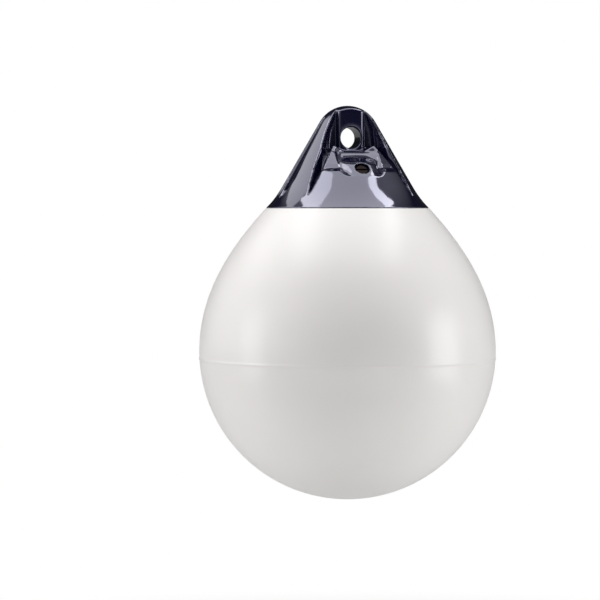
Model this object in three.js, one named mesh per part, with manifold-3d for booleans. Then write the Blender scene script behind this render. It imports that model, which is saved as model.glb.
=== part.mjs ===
// Ball fender: a hollow vinyl ball under a moulded rope head, with an air valve in the head's front.
// Millimetres, +Z up. The origin is the centre of the rope eye, and the eye's bore runs along Y.
// The valve is on the front, the -Y side. The head's left and right, front and back are alike.
import * as THREE from "three";
import { ConvexGeometry } from "three/addons/geometries/ConvexGeometry.js";
import { mergeVertices } from "three/addons/utils/BufferGeometryUtils.js";
import Module from "manifold-3d";

const wasm = await Module();
wasm.setup();

const rad = THREE.MathUtils.degToRad;

// Ball
const ballRadius = 184;
const ballWall = 3.4;
const equatorDrop = 264; // from the eye's centre to the ball's widest circle
const seamDrop = 274; // to the mould's parting line, which is a little lower
const shoulderPull = 75; // how far the ball's side runs on upright above the widest circle
const neckPull = 60; // how far the neck runs on at its own slope below the joint
const seamHeight = 0.6;
const seamWidth = 2.4;

// Joint between ball and head
const jointRadius = 101.4;
const jointDrop = 87;
const neckSlope = rad(42); // of the ball's neck, from the vertical
const skirtThickness = 5; // edge of the head that laps over the ball's collar
const lapLength = 14;

// Head's outline: a dome, a straight slope and a flare down to the joint
const domeRadius = 40;
const sideSlope = rad(30); // from the vertical
const flareHeight = 26;

// Hollow under the head
const hollowTopDrop = 51;
const hollowTopRadius = 40;

// Eye
const eyeBoreRadius = 13;
const eyeThickness = 34;
const eyeHalfWidth = 17; // of the column that the eye is in
const eyeCorner = 5; // rounding of the column's upright edges
const eyeLip = 3; // rounding of the bore's two edges
const webThickness = 18; // of the wall between the column and the wings

// Wings, at the left and at the right of the eye
const wingInnerAngle = rad(34); // how far their inner faces turn outwards from the front
const wingLevels = [
  // inside: of the inner faces, at the mid-plane; spread: each wing is this sector, in degrees, to both sides
  { drop: -42, inside: 7.5, spread: 36 },
  { drop: -34, inside: 11, spread: 36 },
  { drop: -22, inside: 14.5, spread: 36.5 },
  { drop: -8, inside: 19, spread: 36.5 },
  { drop: 8, inside: 21, spread: 36.5 },
  { drop: 42, inside: 21, spread: 36.5 },
  { drop: 60, inside: 21, spread: 38 },
  { drop: 76.5, inside: 21, spread: 40 },
  { drop: 92, inside: 21, spread: 45 },
];

// Floor of the grooves between the wings and the front and back body: radius and drop
const floorSection = [[26, 18], [47, 40], [71, 64.5], [90, 76.5], [101.4, 80]];

// Front and back body, level by level: a lip under the eye, a crease, then a rounded shoulder that the
// valve is in, with a ledge under the horns. Each level lists its reach at the stations' distances to the
// side, then the corner at the groove and the one at the groove's floor, as side and reach.
const bodyStations = [0, 7, 13, 19, 24, 28];
const bodyLevels = [
  { drop: 17, reach: [28, 28, 28, 28.5, 31, 34.4], corner: [31.8, 33.7], root: [24, 14] },
  { drop: 18.5, reach: [30.4, 30.4, 30.4, 30.9, 33, 36.4], corner: [32.8, 34.8], root: [24, 15] },
  { drop: 21.5, reach: [32.2, 32.2, 32.2, 33, 36, 39.6], corner: [34.8, 37], root: [25, 17] },
  { drop: 24, reach: [33.2, 33.2, 33.4, 34.8, 38.4, 42.4], corner: [36.4, 39], root: [26, 19] },
  { drop: 26, reach: [36.5, 36.3, 36, 37, 40.4, 44.4], corner: [37.7, 40.4], root: [28, 21] },
  { drop: 28, reach: [46, 45.6, 44.4, 42.7, 43, 46.4], corner: [39, 41.8], root: [29, 22] },
  { drop: 30.5, reach: [54.5, 54, 52.6, 49.4, 46.6, 48.8], corner: [40.7, 43.5], root: [30, 24] },
  { drop: 34, reach: [61.2, 60.7, 59.1, 55.2, 50.8, 52.2], corner: [43, 45.8], root: [32, 27] },
  { drop: 37.8, reach: [65.6, 65.1, 63.3, 59, 54.2, 55.4], corner: [45.4, 48.2], root: [34, 29] },
  { drop: 40, reach: [67.7, 67.2, 65.4, 61.2, 57, 58.4], corner: [46.6, 49.6], root: [36, 31] },
  { drop: 44.5, reach: [71.2, 70.8, 69.3, 65.6, 64, 67], corner: [50, 52.4], root: [39, 34] },
  { drop: 47.5, reach: [73.2, 73, 72, 69.6, 69, 71], corner: [52, 54], root: [41, 36] },
  { drop: 50, reach: [77, 77, 76, 75, 74, 74], corner: [53.6, 55], root: [43, 38] },
  { drop: 64.5, reach: [95, 95, 94, 92, 90, 88], corner: [63.5, 58], root: [54, 46] },
  { drop: 77, reach: [110, 110, 109, 108, 106, 104], corner: [75, 63.5], root: [69, 58] },
  { drop: 92, reach: [120, 120, 119, 118, 116, 114], corner: [90, 90], root: [70, 70] },
];

// A horn on each side of the lip, rising in a curve from the lip's floor to a rounded top. Its outline is
// given as side and drop where it is highest; each other section is as wide as the body is there, and has
// its top at a drop of its own.
const hornOutline = [
  [6, 17.2], [11, 16.8], [15.5, 15.6], [19.5, 13.6], [23, 11], [25.2, 9.7], [26.8, 9.6], [28.4, 12.4],
  [29.7, 17], [29.7, 19], [6, 19],
];
const hornSections = [
  { reach: 8, width: 21.6, top: 14 },
  { reach: 23, width: 27.6, top: 9.6 },
  { reach: 28.5, width: 29.7, top: 9.6 },
  { reach: 31, width: 30.7, top: 13.1 },
  { reach: 34, width: 31.9, top: 17.3 },
];

// Slots in the wings' outer faces, on both sides of a rib in the middle of each wing. Each level gives the
// slot's two edges on the bell, as distances to the side, and the radius of its floor.
const slotLevels = [
  { drop: -32, edges: [2.6, 4], floor: 23 },
  { drop: -22, edges: [2.6, 6.3], floor: 29 },
  { drop: 15, edges: [2.6, 11.3], floor: 47 },
  { drop: 40, edges: [2.6, 19.6], floor: 58 },
  { drop: 50, edges: [2.6, 22.4], floor: 64 },
  { drop: 65, edges: [3.4, 17], floor: 77 },
  { drop: 76.5, edges: [7.4, 8.6], floor: 91 },
];

// Valve
const valveReach = 65; // from the eye's mid-plane to the valve's mouth
const valveDrop = 37.5;
const valveTilt = rad(44); // of its axis, above the horizontal
const wellRadius = 9.4;
const wellDepth = 8.4;
const flangeThickness = 2;
const barrelRadius = 6.6;
const barrelLength = 25; // below the flange
const sealRadius = 6.2;
const sealThickness = 1.6;
const screwHeadRadius = 7.2;
const screwHeadThickness = 2.6;
const screwShankRadius = 3.4;
const screwShankLength = 17;
const slotWidth = 2.2;
const slotDepth = 1.6;

const gap = 0.3; // clearance between pieces that touch

// How finely the round forms are divided
const ballFacets = 72;
const insideFacets = 48;
const headFacets = 72;
const boreFacets = 36;
const valveFacets = 28;

const point = (r, z) => new THREE.Vector2(r, z);

// Points of an arc round (r, z), from one angle to another, both measured from the horizontal.
function arc(r, z, radius, from, to, steps) {
  const points = [];
  for (let i = 0; i <= steps; i++) {
    const a = from + ((to - from) * i) / steps;
    points.push(point(r + radius * Math.cos(a), z + radius * Math.sin(a)));
  }
  return points;
}

// A closed manifold-3d solid from a three.js geometry, whichever way its faces are wound.
function solid(geometry) {
  const bare = geometry.clone();
  bare.deleteAttribute("normal");
  bare.deleteAttribute("uv");
  const merged = mergeVertices(bare, 1e-4);
  const position = merged.attributes.position;
  const corners = [new THREE.Vector3(), new THREE.Vector3(), new THREE.Vector3()];
  const triangles = [];
  let volume = 0;
  for (let i = 0; i < merged.index.count; i += 3) {
    const face = [0, 1, 2].map((k) => merged.index.getX(i + k));
    if (new Set(face).size < 3) continue; // a face that closes up on the axis
    triangles.push(face);
    corners.forEach((corner, k) => corner.fromBufferAttribute(position, face[k]));
    volume += corners[0].dot(corners[1].cross(corners[2]));
  }
  if (volume < 0) triangles.forEach((face) => face.reverse());
  return new wasm.Manifold(
    new wasm.Mesh({
      numProp: 3,
      vertProperties: new Float32Array(position.array),
      triVerts: new Uint32Array(triangles.flat()),
    }),
  );
}

// A section in (r, z), starting and ending on the axis, turned about Z.
function turned(points, facets) {
  return solid(new THREE.LatheGeometry(points, facets).rotateX(Math.PI / 2));
}

// A solid through level outlines, each one a list of [x, y] corners at its own height.
function lofted(levels) {
  const contour = levels[0].outline.map(([x, y]) => point(x, y));
  const cap = THREE.ShapeUtils.triangulateShape(contour, []);
  const count = contour.length;
  const last = (levels.length - 1) * count;
  const index = [];
  for (const [a, b, c] of cap) index.push(c, b, a, last + a, last + b, last + c);
  for (let i = 0; i < last; i += count) {
    for (let k = 0; k < count; k++) {
      const [a, b] = THREE.ShapeUtils.isClockWise(contour) ? [(k + 1) % count, k] : [k, (k + 1) % count];
      index.push(i + a, i + b, i + b + count, i + a, i + b + count, i + a + count);
    }
  }
  const positions = levels.flatMap(({ z, outline }) => outline.flatMap(([x, y]) => [x, y, z]));
  const geometry = new THREE.BufferGeometry();
  geometry.setAttribute("position", new THREE.Float32BufferAttribute(positions, 3));
  geometry.setIndex(index);
  return solid(geometry);
}

// A prism along Z, and one along X whose outline is given as (y, z).
function prism(outline, from, to) {
  return lofted([{ z: from, outline }, { z: to, outline }]);
}
function crossPrism(outline, halfWidth) {
  return prism(outline, -halfWidth, halfWidth).rotate([90, 0, 90]);
}

// A solid together with its mirror images on the other side, the back or both.
function mirroredSides(part) {
  return part.add(part.mirror([1, 0, 0]));
}
function mirroredEnds(part) {
  return part.add(part.mirror([0, 1, 0]));
}

function named(name, manifold, material) {
  const { vertProperties, triVerts } = manifold.getMesh();
  const geometry = new THREE.BufferGeometry();
  geometry.setAttribute("position", new THREE.BufferAttribute(vertProperties, 3));
  geometry.setIndex(new THREE.BufferAttribute(triVerts, 1));
  const mesh = new THREE.Mesh(geometry, material);
  mesh.name = name;
  return mesh;
}

// A point of the joint: so far up the neck's slope from its visible line, and so far below the surface.
function jointPoint(along, depth) {
  return point(
    jointRadius - along * Math.sin(neckSlope) - depth * Math.cos(neckSlope),
    -jointDrop + along * Math.cos(neckSlope) - depth * Math.sin(neckSlope),
  );
}

// The ball's side above its widest circle, moved inwards by a depth.
function shoulder(depth, steps) {
  const curve = new THREE.CubicBezierCurve(
    point(ballRadius - depth, -equatorDrop),
    point(ballRadius - depth, -equatorDrop + shoulderPull),
    jointPoint(-neckPull, depth),
    jointPoint(0, depth),
  );
  return curve.getPoints(steps);
}

// Ball: a closed skin that is open at its neck, where a collar stands up into the head.
function makeBall() {
  const seam = Math.asin((seamDrop - equatorDrop) / ballRadius);
  const edge = seamWidth / 2 / ballRadius;
  const outside = [
    ...arc(0, -equatorDrop, ballRadius, -Math.PI / 2, -seam - edge, 19),
    ...arc(0, -equatorDrop, ballRadius + seamHeight, -seam, -seam, 1).slice(1),
    ...arc(0, -equatorDrop, ballRadius, -seam + edge, 0, 1),
    ...shoulder(0, 14).slice(1),
    jointPoint(0, skirtThickness + gap),
    jointPoint(lapLength - gap, skirtThickness + gap),
    jointPoint(lapLength - gap, skirtThickness + gap + ballWall),
  ];
  outside[0].x = 0;
  outside.push(point(0, outside.at(-1).y));
  const inside = [
    ...arc(0, -equatorDrop, ballRadius - ballWall, -Math.PI / 2, 0, 14),
    ...shoulder(ballWall, 8).slice(1, -1),
    jointPoint(-3, skirtThickness + gap + ballWall),
    jointPoint(lapLength, skirtThickness + gap + ballWall),
  ];
  inside[0].x = 0;
  inside.push(point(0, inside.at(-1).y));
  return turned(outside, ballFacets).subtract(turned(inside, insideFacets));
}

// Radius of the head's straight slope at a height.
function sideRadius(z) {
  const tangent = arc(0, 0, domeRadius, sideSlope, sideSlope, 1)[0];
  return tangent.x + (tangent.y - z) * Math.tan(sideSlope);
}

// The outline that the whole head keeps within.
function makeBell() {
  const foot = jointPoint(gap, 0);
  const flareTop = point(sideRadius(foot.y + flareHeight), foot.y + flareHeight);
  const flareBend = point(sideRadius(foot.y + flareHeight * 0.4), foot.y + flareHeight * 0.4);
  const outline = [
    point(0, domeRadius),
    ...arc(0, 0, domeRadius, Math.PI / 2, sideSlope, 9).slice(1),
    ...new THREE.QuadraticBezierCurve(flareTop, flareBend, foot).getPoints(6),
    jointPoint(gap, skirtThickness),
    jointPoint(lapLength, skirtThickness),
    jointPoint(lapLength, skirtThickness + 2 * gap + ballWall),
    point(hollowTopRadius + 12, -hollowTopDrop - 9),
    point(hollowTopRadius, -hollowTopDrop),
    point(0, -hollowTopDrop),
  ];
  return turned(outline, headFacets);
}

// The upright column with the eye in it, and the thinner wall that joins it to the wings.
function makeColumn() {
  const side = eyeHalfWidth - eyeCorner;
  const end = eyeThickness / 2 - eyeCorner;
  const quarters = [[side, end], [-side, end], [-side, -end], [side, -end]];
  const outline = quarters.flatMap(([x, y], turn) =>
    arc(x, y, eyeCorner, (turn * Math.PI) / 2, ((turn + 1) * Math.PI) / 2, 4).map((p) => [p.x, p.y]),
  );
  const wall = webThickness / 2;
  const web = [[-jointRadius, -wall], [jointRadius, -wall], [jointRadius, wall], [-jointRadius, wall]];
  return prism(outline, -jointDrop, domeRadius).add(prism(web, -jointDrop, domeRadius));
}

// One wing: a sector of the bell, kept clear of the column by its inner faces.
function makeWing() {
  const far = 2 * jointRadius;
  const turn = Math.tan(wingInnerAngle);
  const levels = wingLevels.map(({ drop, inside, spread }) => {
    const slope = Math.tan(rad(spread));
    const bend = inside / (1 / slope - turn);
    const half = [[inside + bend * turn, bend], [far, far * slope]];
    return { z: -drop, outline: [[inside, 0], ...half, ...half.map(([x, y]) => [x, -y]).reverse()] };
  });
  return lofted(levels);
}

// The core that the grooves' floors are on.
function makeCore() {
  const section = floorSection.map(([r, drop]) => point(r, -drop));
  const low = -jointDrop - skirtThickness;
  return turned([point(0, section[0].y), ...section, point(section.at(-1).x, low), point(0, low)], headFacets);
}

// The front body with its two horns.
function makeBody() {
  const levels = bodyLevels.map(({ drop, reach, corner, root }) => {
    const half = [...reach.map((r, i) => [bodyStations[i], r]), corner, root];
    const other = half.slice(1).map(([side, r]) => [-side, r]).reverse();
    return { z: -drop, outline: [...half, [root[0], 0], [-root[0], 0], ...other].map(([x, r]) => [x, -r]) };
  });
  const horns = mirroredSides(makeHorn()).intersect(prism(levels[0].outline, -bodyLevels[2].drop, 0));
  return lofted(levels).add(horns);
}

function makeHorn() {
  const full = Math.max(...hornOutline.map(([side]) => side));
  const levels = hornSections.map(({ reach, width, top }) => ({
    z: reach,
    outline: hornOutline.map(([side, drop]) => [(side * width) / full, -Math.max(drop, top)]),
  }));
  return lofted(levels).rotate([90, 0, 0]);
}

// A slot that runs out of the bell, widening outwards from its floor.
function makeSlot() {
  const beyond = 3;
  return lofted(
    slotLevels.map(({ drop, edges: [near, far], floor }) => {
      const depth = Math.max(sideRadius(-drop) - floor, 1);
      const mouth = floor + depth + beyond;
      const foot = near + (far - near) * 0.25;
      const wide = foot + ((far - foot) * (depth + beyond)) / depth;
      return { z: -drop, outline: [[floor, near], [mouth, near], [mouth, wide], [floor, foot]] };
    }),
  );
}

// Solids drawn about the valve's axis, whose mouth is at height 0, moved to their place in the head.
function atValve(part) {
  const tilt = 90 - THREE.MathUtils.radToDeg(valveTilt);
  return part.rotate([tilt, 0, 0]).translate([0, -valveReach, -valveDrop]);
}

function bar(radius, from, to) {
  return turned([point(0, from), point(radius, from), point(radius, to), point(0, to)], valveFacets);
}

function makeHead() {
  const mass = mirroredEnds(makeBody())
    .add(mirroredSides(makeWing()))
    .add(makeCore())
    .add(makeColumn());
  const slot = mirroredEnds(mirroredSides(makeSlot()));
  const half = eyeThickness / 2;
  const boreEnd = arc(eyeBoreRadius + eyeLip, half - eyeLip, eyeLip, Math.PI, Math.PI / 2, 4);
  const bore = solid(
    new THREE.LatheGeometry(
      [
        point(0, -jointRadius),
        point(eyeBoreRadius + eyeLip, -jointRadius),
        ...boreEnd.map((p) => point(p.x, -p.y)).reverse(),
        ...boreEnd,
        point(eyeBoreRadius + eyeLip, jointRadius),
        point(0, jointRadius),
      ],
      boreFacets,
    ),
  );
  const well = bar(wellRadius, -wellDepth, 20);
  const seatHole = bar(wellRadius, -wellDepth - flangeThickness - gap, 0);
  const barrelHole = bar(barrelRadius + gap, -wellDepth - 2 * barrelLength, 0);
  return makeBell()
    .intersect(mass)
    .subtract(slot)
    .subtract(bore)
    .subtract(atValve(well.add(seatHole).add(barrelHole)));
}

// Valve: a flanged seat in the well, a seal on its flange and a slotted screw through both.
function makeSeat() {
  const flange = bar(wellRadius - gap, -wellDepth - flangeThickness, -wellDepth);
  const barrel = bar(barrelRadius, -wellDepth - flangeThickness - barrelLength, -wellDepth);
  const bore = bar(screwShankRadius + gap, -jointRadius, 0);
  return atValve(flange.add(barrel).subtract(bore));
}

function makeSeal() {
  const foot = -wellDepth + gap;
  const ring = bar(sealRadius, foot, foot + sealThickness);
  return atValve(ring.subtract(bar(screwShankRadius + gap, -jointRadius, 0)));
}

function makeScrew() {
  const foot = -wellDepth + sealThickness + 2 * gap;
  const top = foot + screwHeadThickness;
  const head = bar(screwHeadRadius, foot, top).add(bar(screwShankRadius, foot - screwShankLength, top));
  const cut = prism(
    [
      [-jointRadius, -slotWidth / 2],
      [jointRadius, -slotWidth / 2],
      [jointRadius, slotWidth / 2],
      [-jointRadius, slotWidth / 2],
    ],
    top - slotDepth,
    top + 1,
  );
  return atValve(head.subtract(cut));
}

const whiteVinyl = new THREE.MeshStandardMaterial({ color: 0xe9e6e3, roughness: 0.32, metalness: 0 });
const navyVinyl = new THREE.MeshStandardMaterial({ color: 0x1b1d38, roughness: 0.18, metalness: 0 });
const blackNylon = new THREE.MeshStandardMaterial({ color: 0x17121a, roughness: 0.45, metalness: 0 });
const maroonNylon = new THREE.MeshStandardMaterial({ color: 0x2a1216, roughness: 0.4, metalness: 0 });
const sealRubber = new THREE.MeshStandardMaterial({ color: 0x111113, roughness: 0.7, metalness: 0 });

const group = new THREE.Group();
group.add(
  named("ball_shell", makeBall(), whiteVinyl),
  named("rope_head", makeHead(), navyVinyl),
  named("valve_seat", makeSeat(), blackNylon),
  named("valve_seal", makeSeal(), sealRubber),
  named("valve_screw", makeScrew(), maroonNylon),
);

export default group;
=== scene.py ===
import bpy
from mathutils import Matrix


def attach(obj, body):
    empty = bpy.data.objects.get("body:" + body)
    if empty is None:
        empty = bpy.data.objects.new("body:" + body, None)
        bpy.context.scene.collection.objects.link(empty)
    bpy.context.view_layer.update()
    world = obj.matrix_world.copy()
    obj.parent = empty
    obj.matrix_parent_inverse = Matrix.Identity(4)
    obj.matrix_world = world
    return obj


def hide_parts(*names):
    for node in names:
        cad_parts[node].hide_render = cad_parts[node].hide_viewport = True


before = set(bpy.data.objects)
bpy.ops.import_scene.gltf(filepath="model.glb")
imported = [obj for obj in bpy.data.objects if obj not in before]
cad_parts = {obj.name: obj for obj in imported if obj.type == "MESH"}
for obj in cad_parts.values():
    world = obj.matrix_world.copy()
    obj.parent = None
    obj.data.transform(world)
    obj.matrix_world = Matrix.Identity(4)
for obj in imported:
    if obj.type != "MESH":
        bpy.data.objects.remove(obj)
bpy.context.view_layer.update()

import math

import bmesh
import bpy
import numpy as np
from mathutils import Matrix, Vector

# Metres, in the frame of the CAD: the eye's centre at the origin, the valve on the -Y side.


def shown(name, mesh):
    piece = bpy.data.objects.new(name, mesh)
    bpy.context.scene.collection.objects.link(piece)
    return piece


def meshOf(name, bm, smoothAngle=40):
    mesh = bpy.data.meshes.new(name)
    bmesh.ops.recalc_face_normals(bm, faces=bm.faces)
    for face in bm.faces:
        face.smooth = True
    for edge in bm.edges:
        edge.smooth = len(edge.link_faces) == 2 and edge.calc_face_angle(0) < math.radians(smoothAngle)
    bm.to_mesh(mesh)
    bm.free()
    return mesh


def arc(r, z, radius, start, end, steps):
    turns = [start + (end - start) * i / steps for i in range(steps + 1)]
    return [(r + radius * math.cos(t), z + radius * math.sin(t)) for t in turns]


def bezier(a, b, c, d, steps):
    points = []
    for i in range(steps + 1):
        t = i / steps
        k = [(1 - t) ** 3, 3 * t * (1 - t) ** 2, 3 * t * t * (1 - t), t ** 3]
        points.append(tuple(sum(w * p[axis] for w, p in zip(k, (a, b, c, d))) for axis in (0, 1)))
    return points


def spun(name, section, facets, closed=False):  # a section in (r, z) turned about Z
    bm = bmesh.new()
    verts = [bm.verts.new((r, 0, z)) for r, z in section]
    edges = [bm.edges.new(pair) for pair in zip(verts, verts[1:])]
    if closed:
        edges.append(bm.edges.new((verts[-1], verts[0])))
    bmesh.ops.spin(
        bm, geom=verts + edges, cent=(0, 0, 0), axis=(0, 0, 1),
        angle=2 * math.pi, steps=facets, use_merge=True,
    )
    bmesh.ops.remove_doubles(bm, verts=bm.verts, dist=1e-6)
    return meshOf(name, bm)


joint = {
    "radius": 0.1014,
    "height": -0.087,
    "slope": math.radians(42),
    "skirt": 0.005,
    "lap": 0.014,
    "gap": 0.0003,
    "rounding": 0.0006,
}


def jointPoint(along, depth):
    s, c = math.sin(joint["slope"]), math.cos(joint["slope"])
    return (joint["radius"] - along * s - depth * c, joint["height"] + along * c - depth * s)


ball = {
    "radius": 0.184,
    "wall": 0.0034,
    "equator": -0.264,
    "shoulderPull": 0.075,
    "neckPull": 0.060,
    "seam": -0.274,
    "seamHeight": 0.0006,
    "seamWidth": 0.0026,
    "seamShoulder": 0.0016,
    "underLap": 0.003,
    "facets": 240,
    "bottomSteps": 60,
    "beltSteps": 4,
    "sideSteps": 70,
    "insideSideSteps": 30,
    "insideBottomSteps": 40,
}


def ballSide(depth, steps):
    r = ball["radius"] - depth
    return bezier(
        (r, ball["equator"]),
        (r, ball["equator"] + ball["shoulderPull"]),
        jointPoint(-ball["neckPull"], depth),
        jointPoint(0, depth),
        steps,
    )


def makeBall():
    middle, r = ball["equator"], ball["radius"]
    tilt = math.asin((ball["seam"] - middle) / r)
    half, lean = ball["seamWidth"] / 2 / r, ball["seamShoulder"] / r
    rise = [(half + lean, 0), (half + lean / 2, 0.12), (half, 0.5), (half * 0.6, 0.9), (0, 1)]  # half a bead
    rise += [(-turn, height) for turn, height in reversed(rise[:-1])]
    seam = []
    for turn, height in rise:
        seam += arc(0, middle, r + ball["seamHeight"] * height, tilt - turn, tilt - turn, 1)[1:]
    low = arc(0, middle, r, -math.pi / 2, tilt - half - lean, ball["bottomSteps"])[:-1]
    belt = arc(0, middle, r, tilt + half + lean, 0, ball["beltSteps"])[1:]
    collar = joint["skirt"] + joint["gap"]
    inner = collar + ball["wall"]
    rim = [jointPoint(-joint["rounding"], 0), jointPoint(0, joint["rounding"])]
    outside = low + seam + belt + ballSide(0, ball["sideSteps"])[1:-1] + rim
    outside += [jointPoint(0, collar), jointPoint(joint["lap"] - joint["gap"], collar)]
    inside = [jointPoint(joint["lap"] - joint["gap"], inner), jointPoint(-ball["underLap"], inner)]
    inside += list(reversed(ballSide(ball["wall"], ball["insideSideSteps"])))[1:]
    inside += list(reversed(arc(0, middle, r - ball["wall"], -math.pi / 2, 0, ball["insideBottomSteps"])))[1:]
    section = outside + inside
    section[0] = (0, section[0][1])
    section[-1] = (0, section[-1][1])
    return shown("ballShell", spun("ballShell", section, ball["facets"]))


head = {
    "dome": 0.040,
    "sideSlope": math.radians(30),
    "flareHeight": 0.026,
    "flareBend": 0.4,
    "flareSteps": 40,
    "weld": 0.00001,
    "voxel": 0.00095,
    "smoothing": 0.5,
    "smoothSteps": 14,
    "evenSteps": 8,
    "lastSteps": 4,
    "facesKept": 0.51,
    "keepBelow": -0.0825,
    "blendBelow": -0.076,
    "mouthKeep": 0.010,
    "mouthBlend": 0.004,
    "mouthLeast": 0.12,
    "softLeast": 0.06,
    "snapNear": 0.0003,
    "snapFar": 0.0007,
    "footKeep": 0.001,
}


def sideRadius(z):
    slope = head["sideSlope"]
    return head["dome"] * math.cos(slope) + (head["dome"] * math.sin(slope) - z) * math.tan(slope)


def bellSide():  # the bell's side under its dome, as heights and radii from the foot up
    foot = jointPoint(joint["gap"], 0)
    top, bend = foot[1] + head["flareHeight"], foot[1] + head["flareHeight"] * head["flareBend"]
    a, b, c = (sideRadius(top), top), (sideRadius(bend), bend), foot
    flare = []
    for i in range(head["flareSteps"] + 1):
        t = i / head["flareSteps"]
        k = ((1 - t) ** 2, 2 * t * (1 - t), t * t)
        flare.append(tuple(sum(w * p[axis] for w, p in zip(k, (a, b, c))) for axis in (1, 0)))
    domeFoot = head["dome"] * math.sin(head["sideSlope"])
    return list(reversed(flare)) + [(domeFoot, sideRadius(domeFoot))]


def fade(values, start, end):
    t = np.clip((values - start) / (end - start), 0, 1)
    return t * t * (3 - 2 * t)


def curve(points, values, at):  # through the points, without a wave between them
    points, values = np.asarray(points, float), np.asarray(values, float)
    step = np.diff(points)
    rise = np.diff(values, axis=0) / step.reshape(-1, *[1] * (values.ndim - 1))
    slope = np.concatenate([rise[:1], rise[1:], rise[-1:]])
    both, added = rise[1:] * rise[:-1], rise[1:] + rise[:-1]
    slope[1:-1] = np.where(both > 0, 2 * both / np.where(both > 0, added, 1), 0)
    i = np.clip(np.searchsorted(points, at, side="right") - 1, 0, len(step) - 1)
    shape = (-1, *[1] * (values.ndim - 1))
    t, h = ((at - points[i]) / step[i]).reshape(shape), step[i].reshape(shape)
    return (
        values[i] * (1 + 2 * t) * (1 - t) ** 2
        + slope[i] * h * t * (1 - t) ** 2
        + values[i + 1] * t * t * (3 - 2 * t)
        + slope[i + 1] * h * t * t * (t - 1)
    )


# Millimetres. Each level has its drop below the eye, its reach at the stations and its corner at the groove.
front = {
    "stations": (0, 7, 13, 19, 24, 28),
    "levels": (
        (17, (28, 28, 28, 28.5, 31, 34.4), (31.8, 33.7)),
        (18.5, (30.6, 30.6, 30.6, 31.2, 33.2, 36.4), (32.8, 34.8)),
        (20.2, (32.8, 32.8, 32.8, 33.2, 35.2, 38.4), (34, 36.2)),
        (21.5, (34, 34, 34, 34.6, 36.8, 39.8), (34.8, 37.1)),
        (23.4, (36.7, 36.6, 36.5, 36.6, 38.6, 41.7), (36, 38.5)),
        (25.2, (39.3, 39.2, 39, 38.6, 40.1, 43.6), (37.2, 39.9)),
        (27.6, (46, 45.6, 44.4, 42.4, 42.4, 46), (38.8, 41.5)),
        (30.5, (54.5, 54, 52.6, 49.4, 46.6, 48.8), (40.7, 43.5)),
        (34, (61.2, 60.7, 59.1, 55.2, 50.8, 52.2), (43, 45.8)),
        (37.6, (65.3, 64.8, 63, 58.4, 53.4, 54.4), (45.2, 47.6)),
        (38.8, (66.4, 65.9, 64.1, 59.8, 55.4, 56.8), (45.9, 49)),
        (41.2, (68.6, 68.2, 66.4, 61.6, 59, 62.6), (48, 51.3)),
        (43.6, (70.7, 70.3, 68.6, 64, 63, 68.2), (50, 53.6)),
        (45.6, (72, 71.7, 70.3, 67, 67.2, 70.4), (51.1, 54.3)),
        (47.5, (73.2, 73, 72, 69.8, 69.8, 72), (52, 54.8)),
        (50, (77, 77, 76, 75, 74, 74), (53.6, 55)),
        (56, (88, 88, 87, 86, 85, 84), (58, 57)),
    ),
    "step": 0.25,
    "gridWidth": 60,
    "sideMost": 56,
    "reachLeast": 20,
    "roundEdge": 0.9,
    "fadeTop": (17.6, 19.0),
    "fadeFoot": (50, 54),
    "fadeCorner": (1.0, 3.0),
    "fadeWell": (10.4, 12.4),
    "wellLength": 6,
    "reachable": (5, 6.5),
}


def grid():  # millimetres: the front body's reach, and its corner, over a fine grid of drop and side
    levels, stations = front["levels"], front["stations"]
    drops = [drop for drop, reach, corner in levels]
    down = np.arange(drops[0], drops[-1], front["step"])
    across = np.arange(0, front["gridWidth"], front["step"])
    reaches = curve(drops, [reach for drop, reach, corner in levels], down)
    corners = curve(drops, [corner for drop, reach, corner in levels], down)
    rows = []
    for reach, (side, edge) in zip(reaches, corners):
        flat = reach[-1] + (across - stations[-1]) * (edge - reach[-1]) / (side - stations[-1])
        rows.append(np.where(across < stations[-1], curve(stations, reach, across), flat))
    return down, np.array(rows), corners[:, 0]


def toFront(points):  # millimetres: the front body's faces lie on one smooth surface
    down, rows, corners = grid()
    side, reach, drop = np.abs(points[:, 0]), np.abs(points[:, 1]), -points[:, 2]
    inside = (drop > down[0]) & (drop < down[-1] - 1)
    inside &= (side < front["sideMost"]) & (reach > front["reachLeast"])
    row = np.clip((drop - down[0]) / front["step"], 0, len(down) - 1.001)  # short of the last row
    column = np.clip(side / front["step"], 0, rows.shape[1] - 1.001)
    i, k = row.astype(int), column.astype(int)
    a, b = row - i, column - k
    wanted = rows[i, k] * (1 - a) * (1 - b) + rows[i + 1, k] * a * (1 - b)
    wanted += rows[i, k + 1] * (1 - a) * b + rows[i + 1, k + 1] * a * b
    bell = np.sqrt(np.maximum(bellRadius(points[:, 2]) ** 2 - side**2, 1))
    edge = front["roundEdge"]
    mix = np.clip(0.5 + 0.5 * (bell - wanted) / edge, 0, 1)
    wanted = bell * (1 - mix) + wanted * mix - edge * mix * (1 - mix)
    s, c = math.sin(valve["tilt"]), math.cos(valve["tilt"])
    out, up = reach - 1000 * valve["reach"], -drop - 1000 * valve["height"]
    inWell = (out * c + up * s > -front["wellLength"]) & (points[:, 1] < 0)
    well = np.where(inWell, np.hypot(points[:, 0], out * s - up * c), math.inf)
    pull = fade(drop, *front["fadeTop"]) * (1 - fade(drop, *front["fadeFoot"]))
    pull *= fade(corners[i] - side, *front["fadeCorner"]) * fade(well, *front["fadeWell"])
    pull *= (1 - fade(np.abs(wanted - reach), *front["reachable"])) * inside
    points[:, 1] = np.sign(points[:, 1]) * (reach + (wanted - reach) * pull)


def bellRadius(z):  # millimetres
    side = bellSide()
    low = np.interp(z / 1000, [a for a, r in side], [r for a, r in side]) * 1000
    dome = np.sqrt(np.maximum((1000 * head["dome"]) ** 2 - z**2, 0))
    return np.where(z > 1000 * side[-1][0], dome, low)


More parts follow.
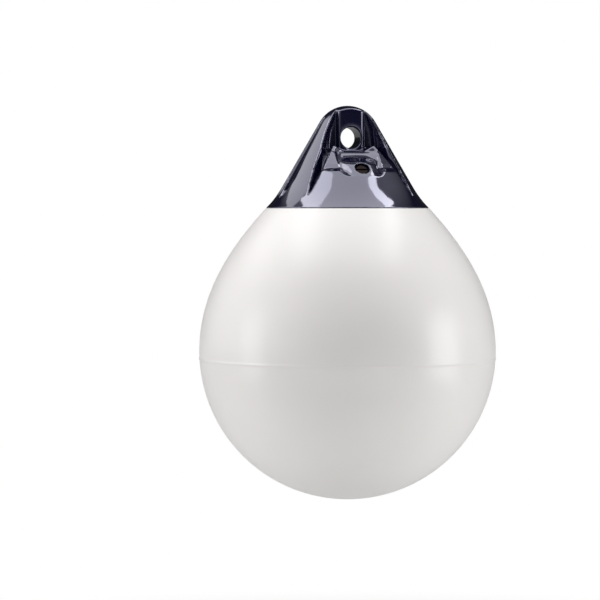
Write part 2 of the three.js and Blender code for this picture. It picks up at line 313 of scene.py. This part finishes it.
def toBell(points):  # millimetres: the faces of the bell's own round form lie exactly on it
    r = np.maximum(np.hypot(points[:, 0], points[:, 1]), 1e-6)
    z = points[:, 2]
    onDome = z > 1000 * bellSide()[-1][0]
    scale = np.where(onDome, 1000 * head["dome"] / np.hypot(r, z), bellRadius(z) / r)
    far = np.abs(np.where(onDome, np.hypot(r, z), r) * (scale - 1))
    pull = 1 - fade(far, 1000 * head["snapNear"], 1000 * head["snapFar"])
    pull *= z > 1000 * (bellSide()[0][0] + head["footKeep"])
    k = 1 + (scale - 1) * pull
    points[:, 0] *= k
    points[:, 1] *= k
    points[:, 2] *= np.where(onDome, k, 1)


def toForms(piece):  # each point's move is evened out with its neighbours', so no edge is left ragged
    mesh = piece.data
    count = len(mesh.vertices)
    places, ends = np.empty(3 * count), np.empty(2 * len(mesh.edges), int)
    mesh.vertices.foreach_get("co", places)
    mesh.edges.foreach_get("vertices", ends)
    a, b = ends.reshape(-1, 2).T
    around = np.bincount(a, minlength=count) + np.bincount(b, minlength=count)
    points = places.reshape(-1, 3) * 1000
    wanted = points.copy()
    toFront(wanted)
    toBell(wanted)
    move = wanted - points
    for step in range(head["evenSteps"]):
        total = [np.bincount(a, move[b, i], count) + np.bincount(b, move[a, i], count) for i in range(3)]
        move = (move + np.stack(total, axis=1) / around[:, None]) / 2
    mesh.vertices.foreach_set("co", ((points + move) / 1000).ravel())


def applied(piece):
    evaluated = piece.evaluated_get(bpy.context.evaluated_depsgraph_get())
    mesh = bpy.data.meshes.new_from_object(evaluated)
    piece.modifiers.clear()
    old = piece.data
    piece.data = mesh
    bpy.data.meshes.remove(old)
    mesh.name = piece.name


def softened(piece, steps):
    smooth = piece.modifiers.new("smooth", "SMOOTH")
    smooth.factor = head["smoothing"]
    smooth.iterations = steps
    smooth.vertex_group = "soft"
    applied(piece)


def makeHead():  # the moulding's own form, with every edge rounded as a mould leaves it
    bm = bmesh.new()
    bm.from_mesh(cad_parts["rope_head"].data)
    bmesh.ops.remove_doubles(bm, verts=bm.verts, dist=head["weld"])
    mesh = bpy.data.meshes.new("ropeHead")
    bm.to_mesh(mesh)
    bm.free()
    piece = shown("ropeHead", mesh)
    remesh = piece.modifiers.new("voxels", "REMESH")
    remesh.mode = "VOXEL"
    remesh.voxel_size = head["voxel"]
    remesh.adaptivity = 0
    applied(piece)
    valveAt = Vector((0, -valve["reach"], valve["height"]))
    weights = piece.vertex_groups.new(name="soft")
    span = head["blendBelow"] - head["keepBelow"]
    for vert in piece.data.vertices:
        low = min(max((vert.co.z - head["keepBelow"]) / span, 0), 1)
        mouth = ((vert.co - valveAt).length - head["mouthKeep"]) / head["mouthBlend"]
        mouth = min(max(mouth, head["mouthLeast"]), 1)
        weights.add([vert.index], max(low * mouth, head["softLeast"]), "REPLACE")
    softened(piece, head["smoothSteps"])
    toForms(piece)
    softened(piece, head["lastSteps"])
    fewer = piece.modifiers.new("fewer", "DECIMATE")
    fewer.ratio = head["facesKept"]
    applied(piece)
    for face in piece.data.polygons:
        face.use_smooth = True
    return piece


valve = {
    "reach": 0.065,
    "height": -0.0375,
    "tilt": math.radians(44),
    "wellRadius": 0.0094,
    "wellDepth": 0.0084,
    "flange": 0.002,
    "seatEdge": 0.0005,
    "barrelRadius": 0.0066,
    "barrelLength": 0.025,
    "sealRadius": 0.0062,
    "sealThickness": 0.0016,
    "headRadius": 0.0072,
    "headThickness": 0.0026,
    "headEdge": 0.0007,
    "headFootEdge": 0.0003,
    "shankRadius": 0.0034,
    "shankLength": 0.017,
    "shankEdge": 0.0008,
    "slotWidth": 0.0022,
    "slotDepth": 0.0016,
    "slotEdge": 0.00022,
    "slotEdgeSteps": 2,
    "cutterHeight": 0.01,
    "headEdgeSteps": 6,
    "sealEdgeSteps": 10,
    "facets": 96,
}


def tilted(piece):  # from upright about the origin to the valve's place
    turn = math.pi / 2 - valve["tilt"]
    c, s = math.cos(turn), math.sin(turn)
    for vert in piece.data.vertices:
        x, y, z = vert.co
        vert.co = (x, y * c - z * s - valve["reach"], y * s + z * c + valve["height"])
    return piece


def makeSeat():
    r, bore = valve["wellRadius"] - joint["gap"], valve["shankRadius"] + joint["gap"]
    top, soft = -valve["wellDepth"], valve["seatEdge"]
    under = top - valve["flange"]
    foot = under - valve["barrelLength"]
    section = [
        (bore, foot), (bore, top - soft), (bore + soft, top), (r - soft, top), (r, top - soft), (r, under),
        (valve["barrelRadius"], under), (valve["barrelRadius"], foot),
    ]
    return tilted(shown("valveSeat", spun("valveSeat", section, valve["facets"], closed=True)))


def makeSeal():
    foot, bore = -valve["wellDepth"] + joint["gap"], valve["shankRadius"] + joint["gap"]
    r, thick = valve["sealRadius"], valve["sealThickness"]
    section = [(bore, foot), (bore, foot + thick)]
    half = thick / 2
    section += arc(r - half, foot + half, half, math.pi / 2, -math.pi / 2, valve["sealEdgeSteps"])
    return tilted(shown("valveSeal", spun("valveSeal", section, valve["facets"], closed=True)))


def makeScrew():
    foot = -valve["wellDepth"] + valve["sealThickness"] + 2 * joint["gap"]
    top = foot + valve["headThickness"]
    r, soft, footSoft = valve["headRadius"], valve["headEdge"], valve["headFootEdge"]
    shank, shankSoft = valve["shankRadius"], valve["shankEdge"]
    end = foot - valve["shankLength"]
    section = [(0, end), (shank - shankSoft, end), (shank, end + shankSoft), (shank, foot)]
    section += [(r - footSoft, foot), (r, foot + footSoft)]
    section += arc(r - soft, top - soft, soft, 0, math.pi / 2, valve["headEdgeSteps"]) + [(0, top)]
    body = shown("valveScrew", spun("valveScrew", section, valve["facets"]))
    bm = bmesh.new()
    bmesh.ops.create_cube(bm, size=1)
    for vert in bm.verts:
        vert.co = (
            vert.co.x * 4 * r,  # past both sides of the head
            vert.co.y * valve["slotWidth"],
            top - valve["slotDepth"] + (vert.co.z + 0.5) * valve["cutterHeight"],
        )
    cutter = shown("slotCutter", meshOf("slotCutter", bm))
    cut = body.modifiers.new("slot", "BOOLEAN")
    cut.operation = "DIFFERENCE"
    cut.object = cutter
    cut.solver = "EXACT"
    applied(body)
    bpy.data.objects.remove(cutter)
    edge = body.modifiers.new("edge", "BEVEL")
    edge.width = valve["slotEdge"]
    edge.segments = valve["slotEdgeSteps"]
    edge.limit_method = "ANGLE"
    edge.angle_limit = math.radians(40)
    applied(body)
    for face in body.data.polygons:
        face.use_smooth = True
    return tilted(body)


surface = {
    "ior": 1.5,
    "coatIor": 1.6,
    "coatRoughness": 0.05,
    "coatTint": (0.93, 0.93, 1, 1),
    "lacqueredSpecular": (0.74, 0.74, 1, 1),
    "plainSpecular": (1, 1, 1, 1),
    "cloudScale": 9,
    "cloudDetail": 3,
    "peelDetail": 2,
    "rippleDetail": 1,
    "toneSpread": 0.03,
    "roughnessSpread": (0.88, 1.15),
}
finishes = {
    "whiteVinyl": {
        "colour": (0.79, 0.77, 0.757), "roughness": 0.30, "shine": 0.5, "lacquer": 0,
        "ripple": {"scale": 5, "height": 0.0009}, "orangePeel": {"scale": 900, "height": 0.00002},
    },
    "navyVinyl": {
        "colour": (0.003, 0.003, 0.016), "roughness": 0.10, "shine": 1.0, "lacquer": 1,
        "ripple": {"scale": 22, "height": 0.0004}, "orangePeel": {"scale": 400, "height": 0.000006},
    },
    "blackNylon": {
        "colour": (0.004, 0.003, 0.004), "roughness": 0.40, "shine": 0.15, "lacquer": 0,
        "ripple": {"scale": 60, "height": 0.00005}, "orangePeel": {"scale": 3000, "height": 0.00001},
    },
    "sealRubber": {
        "colour": (0.012, 0.012, 0.012), "roughness": 0.65, "shine": 0.4, "lacquer": 0,
        "ripple": {"scale": 60, "height": 0.00005}, "orangePeel": {"scale": 3000, "height": 0.00001},
    },
    "maroonNylon": {
        "colour": (0.007, 0.001, 0.002), "roughness": 0.35, "shine": 0.10, "lacquer": 0,
        "ripple": {"scale": 60, "height": 0.00005}, "orangePeel": {"scale": 3000, "height": 0.00001},
    },
}


def newMaterial(name):
    material = bpy.data.materials.new(name)
    material.use_nodes = True
    tree = material.node_tree
    return material, tree.nodes, tree.links, tree.nodes["Principled BSDF"]


# Where the navy head's reflections are dimmed round the eye, as painted shade in the niche.
niche = {"side": 0.030, "reach": 0.026, "radius": 0.0385, "soft": 0.002, "roughness": 0.15}


def nicheShadeMask(nodes, links, place):  # painted shade mask: 1 on the faces round the eye, 0 on the bell's outer faces
    size, length = nodes.new("ShaderNodeVectorMath"), nodes.new("ShaderNodeVectorMath")
    size.operation, length.operation = "ABSOLUTE", "LENGTH"
    apart = nodes.new("ShaderNodeSeparateXYZ")
    for node in (size, length):
        links.new(place.outputs["Object"], node.inputs[0])
    links.new(size.outputs["Vector"], apart.inputs["Vector"])
    sources = {"side": apart.outputs["X"], "reach": apart.outputs["Y"], "radius": length.outputs["Value"]}
    inside = None
    for name, source in sources.items():
        near = nodes.new("ShaderNodeMapRange")
        near.interpolation_type = "SMOOTHSTEP"
        near.inputs["From Min"].default_value = niche[name] - niche["soft"]
        near.inputs["From Max"].default_value = niche[name]
        near.inputs["To Min"].default_value = 1
        near.inputs["To Max"].default_value = 0
        links.new(source, near.inputs["Value"])
        if inside:
            both = nodes.new("ShaderNodeMath")
            both.operation = "MULTIPLY"
            links.new(inside, both.inputs[0])
            links.new(near.outputs["Result"], both.inputs[1])
            inside = both.outputs["Value"]
        else:
            inside = near.outputs["Result"]
    return inside


def makeFinish(name, colour, roughness, shine, lacquer, ripple, orangePeel):
    material, nodes, links, shader = newMaterial(name)
    specular = surface["lacqueredSpecular"] if lacquer else surface["plainSpecular"]
    shader.inputs["IOR"].default_value = surface["ior"]
    shader.inputs["Specular IOR Level"].default_value = shine
    shader.inputs["Specular Tint"].default_value = specular
    shader.inputs["Coat Weight"].default_value = lacquer
    shader.inputs["Coat Roughness"].default_value = surface["coatRoughness"]
    shader.inputs["Coat IOR"].default_value = surface["coatIor"]
    shader.inputs["Coat Tint"].default_value = surface["coatTint"]
    place = nodes.new("ShaderNodeTexCoord")
    cloud = nodes.new("ShaderNodeTexNoise")
    cloud.inputs["Scale"].default_value = surface["cloudScale"]
    cloud.inputs["Detail"].default_value = surface["cloudDetail"]
    tone = nodes.new("ShaderNodeMix")
    tone.data_type = "RGBA"
    tone.inputs["A"].default_value = (*[c * (1 - surface["toneSpread"]) for c in colour], 1)
    tone.inputs["B"].default_value = (*[c * (1 + surface["toneSpread"]) for c in colour], 1)
    sheen = nodes.new("ShaderNodeMapRange")
    sheen.inputs["To Min"].default_value = roughness * surface["roughnessSpread"][0]
    sheen.inputs["To Max"].default_value = roughness * surface["roughnessSpread"][1]
    fine = nodes.new("ShaderNodeTexNoise")
    fine.inputs["Scale"].default_value = orangePeel["scale"]
    fine.inputs["Detail"].default_value = surface["peelDetail"]
    broad = nodes.new("ShaderNodeTexNoise")
    broad.inputs["Scale"].default_value = ripple["scale"]
    broad.inputs["Detail"].default_value = surface["rippleDetail"]
    peelBump = nodes.new("ShaderNodeBump")
    peelBump.inputs["Distance"].default_value = orangePeel["height"]
    rippleBump = nodes.new("ShaderNodeBump")
    rippleBump.inputs["Distance"].default_value = ripple["height"]
    for texture in (cloud, fine, broad):
        links.new(place.outputs["Object"], texture.inputs["Vector"])
    links.new(cloud.outputs["Fac"], tone.inputs["Factor"])
    links.new(cloud.outputs["Fac"], sheen.inputs["Value"])
    links.new(tone.outputs["Result"], shader.inputs["Base Color"])
    if lacquer:  # painted shade: no coat and a rougher surface round the eye, dimming its reflections where the niche is shaded
        inside = nicheShadeMask(nodes, links, place)
        nicheShadedCoat, nicheShadedRoughness = nodes.new("ShaderNodeMapRange"), nodes.new("ShaderNodeMix")
        nicheShadedCoat.inputs["To Min"].default_value = lacquer
        nicheShadedCoat.inputs["To Max"].default_value = 0
        nicheShadedRoughness.inputs["B"].default_value = niche["roughness"]
        links.new(inside, nicheShadedCoat.inputs["Value"])
        links.new(nicheShadedCoat.outputs["Result"], shader.inputs["Coat Weight"])
        links.new(inside, nicheShadedRoughness.inputs["Factor"])
        links.new(sheen.outputs["Result"], nicheShadedRoughness.inputs["A"])
        links.new(nicheShadedRoughness.outputs["Result"], shader.inputs["Roughness"])
    else:
        links.new(sheen.outputs["Result"], shader.inputs["Roughness"])
    links.new(broad.outputs["Fac"], rippleBump.inputs["Height"])
    links.new(fine.outputs["Fac"], peelBump.inputs["Height"])
    links.new(rippleBump.outputs["Normal"], peelBump.inputs["Normal"])
    links.new(peelBump.outputs["Normal"], shader.inputs["Normal"])
    return material


def dress(piece, material, node):
    piece.data.materials.clear()
    piece.data.materials.append(material)
    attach(piece, "root")
    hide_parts(node)


floorPaper = {
    "height": -0.70,
    "radius": 60,
    "colour": (0.93, 0.93, 0.925, 1),
    "roughness": 0.9,
    "whiteFrom": 0.30,
    "whiteBy": 1.05,
    "facets": 64,
}


def makeFloor():  # pale, with the object's shadow; white to the camera further out, and clear from below
    bm = bmesh.new()
    bmesh.ops.create_circle(bm, cap_ends=True, radius=floorPaper["radius"], segments=floorPaper["facets"])
    for vert in bm.verts:
        vert.co.z = floorPaper["height"]
    floor = shown("floor", meshOf("floor", bm))
    material, nodes, links, shader = newMaterial("floorPaper")
    shader.inputs["Base Color"].default_value = floorPaper["colour"]
    shader.inputs["Roughness"].default_value = floorPaper["roughness"]
    shader.inputs["Specular IOR Level"].default_value = 0
    white = nodes.new("ShaderNodeEmission")
    place, length = nodes.new("ShaderNodeTexCoord"), nodes.new("ShaderNodeVectorMath")
    length.operation = "LENGTH"
    flat = nodes.new("ShaderNodeVectorMath")
    flat.operation = "MULTIPLY"
    flat.inputs[1].default_value = (1, 1, 0)
    far = nodes.new("ShaderNodeMapRange")
    far.interpolation_type = "SMOOTHSTEP"
    far.inputs["From Min"].default_value = floorPaper["whiteFrom"]
    far.inputs["From Max"].default_value = floorPaper["whiteBy"]
    rays, side = nodes.new("ShaderNodeLightPath"), nodes.new("ShaderNodeNewGeometry")
    both, mix = nodes.new("ShaderNodeMath"), nodes.new("ShaderNodeMixShader")
    both.operation = "MULTIPLY"
    links.new(place.outputs["Object"], flat.inputs[0])
    links.new(flat.outputs["Vector"], length.inputs[0])
    links.new(length.outputs["Value"], far.inputs["Value"])
    links.new(far.outputs["Result"], both.inputs[0])
    links.new(rays.outputs["Is Camera Ray"], both.inputs[1])
    links.new(both.outputs["Value"], mix.inputs["Fac"])
    links.new(shader.outputs["BSDF"], mix.inputs[1])
    links.new(white.outputs["Emission"], mix.inputs[2])
    clear = nodes.new("ShaderNodeBsdfTransparent")
    under, seen = nodes.new("ShaderNodeMath"), nodes.new("ShaderNodeMixShader")
    under.operation = "MULTIPLY"
    links.new(side.outputs["Backfacing"], under.inputs[0])
    links.new(rays.outputs["Is Camera Ray"], under.inputs[1])
    links.new(under.outputs["Value"], seen.inputs["Fac"])
    links.new(mix.outputs["Shader"], seen.inputs[1])
    links.new(clear.outputs["BSDF"], seen.inputs[2])
    links.new(seen.outputs["Shader"], nodes["Material Output"].inputs["Surface"])
    floor.data.materials.append(material)


photo = {
    "pixels": 600,
    "metresPerPixel": 0.001243,
    "axisX": 347.5,
    "horizonY": 208,
    "turn": -16.5,
    "distance": 3.5,
    "sensor": 36,
    "clipEnd": 50,
}


def wayTo(azimuth):  # level, from the object towards a camera at this azimuth
    a = math.radians(azimuth)
    return Vector((math.sin(a), -math.cos(a), 0))


def makeCamera():
    width = photo["pixels"] * photo["metresPerPixel"]
    data = bpy.data.cameras.new("camera")
    data.sensor_width = photo["sensor"]
    data.lens = photo["sensor"] * photo["distance"] / width
    data.shift_x = (photo["pixels"] / 2 - photo["axisX"]) / photo["pixels"]
    data.shift_y = (photo["horizonY"] - photo["pixels"] / 2) / photo["pixels"]
    data.clip_end = photo["clipEnd"]
    camera = bpy.data.objects.new("camera", data)
    bpy.context.scene.collection.objects.link(camera)
    away = wayTo(photo["turn"])
    camera.location = Vector((0, 0, joint["height"])) + away * photo["distance"]
    camera.rotation_euler = away.to_track_quat("Z", "Y").to_euler()
    bpy.context.scene.camera = camera


# Place and aim are metres to the right, towards the camera and up, as the camera sees them.
lamps = {
    "overhead": {
        "place": (0.04, 0.18, 0.45), "aim": (0.04, 0.18, 0),
        "size": (0.545, 0.54), "radiance": 1.75,
    },
    "overheadRight": {
        "place": (0.375, 0.14, 0.45), "aim": (0.375, 0.14, 0),
        "size": (0.13, 0.48), "radiance": 5.2,
    },
    "overheadLeft": {
        "place": (-0.36, 0.14, 0.45), "aim": (-0.36, 0.14, 0),
        "size": (0.255, 0.48), "radiance": 3.65,
    },
    "leftHigh": {
        "place": (-1.15, -0.45, 0.85), "aim": (0, 0, 0),
        "size": (0.9, 0.6), "radiance": 1.1,
    },
    "leftWall": {
        "place": (-1.5, 0.40, -0.25), "aim": (0, 0, -0.25),
        "size": (0.5, 1.2), "radiance": 2.9,
    },
    "rightWall": {
        "place": (1.6, 0.38, -0.25), "aim": (0, 0, -0.25),
        "size": (0.8, 1.2), "radiance": 4.3,
    },
    "lowFront": {
        "place": (0, 1.2, -0.62), "aim": (0, 0, -0.4),
        "size": (1.6, 0.3), "radiance": 1.4,
    },
}


def softbox(name, place, aim, size, radiance):
    right, near = wayTo(photo["turn"] + 90), wayTo(photo["turn"])

    def at(spot):
        return right * spot[0] + near * spot[1] + Vector((0, 0, spot[2]))

    data = bpy.data.lights.new(name, "AREA")
    data.shape = "RECTANGLE"
    data.size, data.size_y = size
    data.energy = radiance * math.pi * size[0] * size[1]
    light = bpy.data.objects.new(name, data)
    bpy.context.scene.collection.objects.link(light)
    light.location = at(place)
    facing = (at(place) - at(aim)).normalized()
    level = abs(facing.z) < 0.99  # not a lamp overhead
    across = Vector((0, 0, 1)).cross(facing) if level else right
    across.normalize()
    light.matrix_world = Matrix.LocRotScale(
        at(place), Matrix((across, facing.cross(across), facing)).transposed().to_quaternion(), None
    )


studio = {
    "wall": 0.54,
    "front": 0.68,
    "frontTurn": 12,
    "frontNarrow": 3.5,
    "behind": 0.75,
    "behindNarrow": 1.2,
    "ceiling": 0.14,
    "left": 1.2,
    "right": 0.2,
    "sideNarrow": 4,
    "least": 0.015,
}


def makeWorld():  # an even wall, darker in front, behind and above, and brighter at the sides
    world = bpy.data.worlds.new("studio")
    bpy.context.scene.world = world
    world.use_nodes = True
    nodes, links = world.node_tree.nodes, world.node_tree.links

    def worked(operation, first, second):
        node = nodes.new("ShaderNodeMath")
        node.operation = operation
        for socket, value in zip(node.inputs, (first, second)):
            if isinstance(value, (int, float)):
                socket.default_value = value
            else:
                links.new(value, socket)
        return node.outputs[0]

    place = nodes.new("ShaderNodeTexCoord")

    def lobe(way, narrow, strength):
        dot = nodes.new("ShaderNodeVectorMath")
        dot.operation = "DOT_PRODUCT"
        dot.inputs[1].default_value = way
        links.new(place.outputs["Generated"], dot.inputs[0])
        facing = worked("MAXIMUM", dot.outputs["Value"], 0)
        return worked("MULTIPLY", worked("POWER", facing, narrow), strength)

    turn = photo["turn"]
    inFront = lobe(wayTo(studio["frontTurn"]), studio["frontNarrow"], studio["front"])
    behind = lobe(-wayTo(turn), studio["behindNarrow"], studio["behind"])
    above = lobe((0, 0, 1), 1, studio["ceiling"])
    left = lobe(wayTo(turn - 90), studio["sideNarrow"], studio["left"])
    right = lobe(wayTo(turn + 90), studio["sideNarrow"], studio["right"])
    dark = worked("ADD", worked("ADD", inFront, behind), above)
    bright = worked("ADD", worked("ADD", left, right), studio["wall"])
    glow = worked("MAXIMUM", worked("SUBTRACT", bright, dark), studio["least"])
    rays = nodes.new("ShaderNodeLightPath")
    strength = nodes.new("ShaderNodeMix")
    strength.inputs["B"].default_value = 1
    links.new(rays.outputs["Is Camera Ray"], strength.inputs["Factor"])
    links.new(glow, strength.inputs["A"])
    links.new(strength.outputs["Result"], nodes["Background"].inputs["Strength"])
    nodes["Background"].inputs["Color"].default_value = (1, 1, 1, 1)


ballShell = makeBall()
print("ball", len(ballShell.data.polygons))
ropeHead = makeHead()
print("head", len(ropeHead.data.polygons))
valveSeat, valveSeal, valveScrew = makeSeat(), makeSeal(), makeScrew()
print("valve", len(valveScrew.data.polygons))

materials = {name: makeFinish(name, **finish) for name, finish in finishes.items()}
dress(ballShell, materials["whiteVinyl"], "ball_shell")
dress(ropeHead, materials["navyVinyl"], "rope_head")
dress(valveSeat, materials["blackNylon"], "valve_seat")
dress(valveSeal, materials["sealRubber"], "valve_seal")
dress(valveScrew, materials["maroonNylon"], "valve_screw")
print("finishes", len(finishes))

makeFloor()
makeCamera()
makeWorld()
for name, lamp in lamps.items():
    softbox(name, **lamp)
print("studio", len(lamps))

bpy.context.scene.view_settings.view_transform = "Standard"
